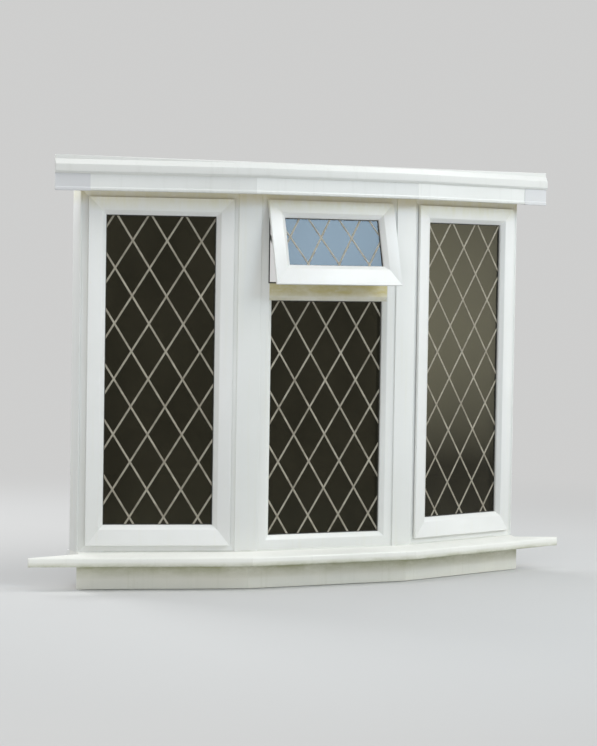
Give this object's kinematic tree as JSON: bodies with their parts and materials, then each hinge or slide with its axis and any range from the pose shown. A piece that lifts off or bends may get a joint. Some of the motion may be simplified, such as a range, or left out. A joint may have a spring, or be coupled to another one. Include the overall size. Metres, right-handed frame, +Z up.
{
  "type": "three-light bay window",
  "caption": "Shallow white bay window for a flat wall: fixed side lights, a fixed centre light under an open top vent, with sill, apron, fascia and roof.",
  "frame": {"origin": "middle of the fixing rail's back face, on the wall face and on the line of the fixing bolts", "axes": "+X along the wall to the right seen from outside, +Y into the wall, +Z up"},
  "size_m": [2.1796, 0.3652, 1.53],
  "materials": {
    "frame_white": "satin",
    "sash_white": "satin",
    "glass": "clear, lightly tinted",
    "bead_white": "satin",
    "post_white": "satin",
    "stay_steel": "brushed",
    "handle_white": "gloss",
    "sill_white": "satin, weathered",
    "apron_white": "satin, weathered",
    "timber": "raw sawn softwood",
    "board_white": "satin",
    "roof_white": "satin, weathered",
    "fascia_white": "satin, weathered"
  },
  "bodies": {
    "root": {"left_frame": "frame_white", "centre_frame": "frame_white", "right_frame": "frame_white", "centre_transom": "frame_white", "left_sash": "sash_white", "right_sash": "sash_white", "vent_sash": "sash_white", "left_glass": "glass", "right_glass": "glass", "lower_glass": "glass", "vent_glass": "glass", "left_bead": "bead_white", "right_bead": "bead_white", "lower_bead": "bead_white", "vent_bead": "bead_white", "left_post": "post_white", "right_post": "post_white", "left_jamb": "post_white", "right_jamb": "post_white", "vent_stay_left": "stay_steel", "vent_stay_right": "stay_steel", "vent_handle": "handle_white", "sill_left": "sill_white", "sill_centre": "sill_white", "sill_right": "sill_white", "apron_left": "apron_white", "apron_centre": "apron_white", "apron_right": "apron_white", "base_board": "timber", "fixing_rail": "timber", "bracket_left": "timber", "bracket_right": "timber", "bottom_soffit": "apron_white", "window_board": "board_white", "head_board": "timber", "roof_core": "timber", "roof_cover": "roof_white", "fascia_left": "fascia_white", "fascia_centre": "fascia_white", "fascia_right": "fascia_white"}
  },
  "joints": []
}
